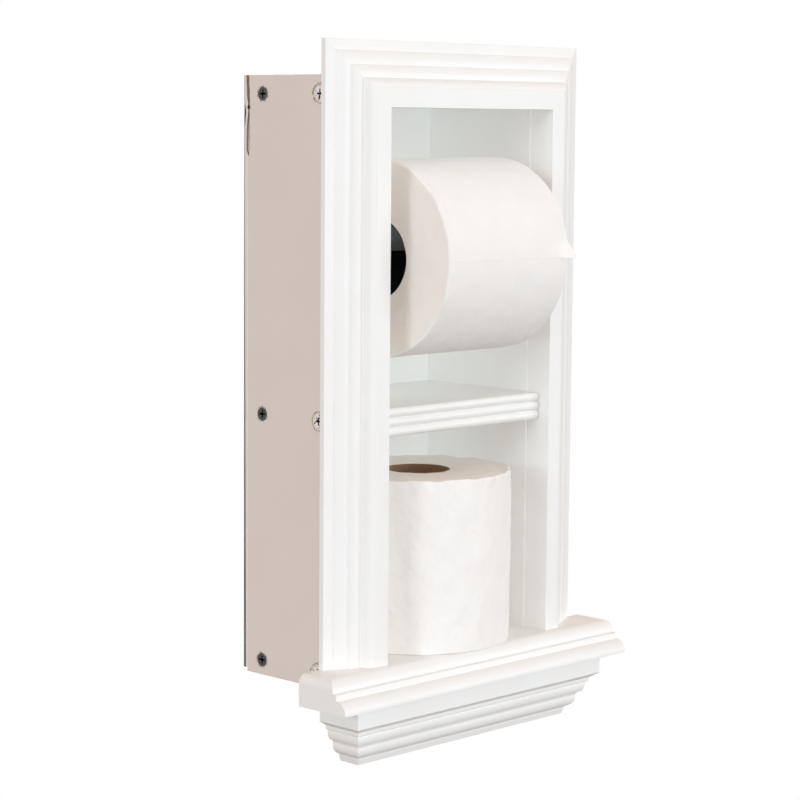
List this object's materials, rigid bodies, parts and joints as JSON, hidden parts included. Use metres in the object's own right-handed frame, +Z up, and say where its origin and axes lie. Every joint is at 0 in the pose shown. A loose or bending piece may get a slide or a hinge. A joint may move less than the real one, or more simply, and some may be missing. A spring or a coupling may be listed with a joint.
{
  "type": "toilet paper holder",
  "caption": "Recessed wooden toilet paper niche with stepped casing, reeded shelf, moulded ledge, spring roller with a hung roll and a standing spare roll.",
  "frame": {"origin": "centre of the wall cut-out (the outline of the box behind the casing) on the wall's surface", "axes": "+X to the right as seen from the room, +Y into the wall, +Z up"},
  "size_m": [0.2588, 0.1427, 0.4375],
  "materials": {
    "white_enamelled_wood": "satin",
    "painted_hardboard": "satin",
    "zinc_plated_steel": "satin",
    "bright_steel": "satin",
    "chrome_plated_steel": "polished",
    "spring_steel": "satin",
    "white_tissue": "matte",
    "brown_cardboard": "matte"
  },
  "bodies": {
    "carcass": {"left_side_board": "white_enamelled_wood", "right_side_board": "white_enamelled_wood", "top_board": "white_enamelled_wood", "bottom_board": "white_enamelled_wood", "shelf_board": "white_enamelled_wood", "shelf_nosing": "white_enamelled_wood", "back_panel": "painted_hardboard", "casing_top_rail": "white_enamelled_wood", "casing_left_stile": "white_enamelled_wood", "casing_right_stile": "white_enamelled_wood", "ledge": "white_enamelled_wood", "apron_front": "white_enamelled_wood", "apron_left_return": "white_enamelled_wood", "apron_right_return": "white_enamelled_wood", "left_side_screws": "zinc_plated_steel", "right_side_screws": "zinc_plated_steel", "back_panel_nails": "bright_steel", "casing_brads": "bright_steel", "apron_brads": "bright_steel"},
    "roller": {"roller_barrel": "chrome_plated_steel", "roller_left_tip": "chrome_plated_steel", "roller_spring": "spring_steel"},
    "plunger": {"roller_plunger": "chrome_plated_steel", "roller_right_tip": "chrome_plated_steel"},
    "hung_roll": {"paper_roll": "white_tissue", "paper_roll_core": "brown_cardboard", "paper_tail": "white_tissue"},
    "spare": {"spare_roll": "white_tissue", "spare_roll_core": "brown_cardboard"}
  },
  "joints": [
    {"name": "roller_spin", "type": "hinge", "parent": "carcass", "child": "roller", "pos_m": [0, 0.0115, 0.09065], "axis": [1, 0, 0], "continuous": true},
    {"name": "plunger_slide", "type": "slide", "parent": "roller", "child": "plunger", "axis": [-1, 0, 0], "range_m": [0, 0.012], "stiffness_N_per_m": 300, "springref_m": -0.02, "deforming": ["roller_spring"]},
    {"name": "hung_roll_spin", "type": "hinge", "parent": "carcass", "child": "hung_roll", "pos_m": [0, 0.0115, 0.0767], "axis": [1, 0, 0], "continuous": true},
    {"name": "spare_roll_pull", "type": "slide", "parent": "carcass", "child": "spare", "axis": [0, -1, 0], "range_m": [0, 0.17]}
  ]
}
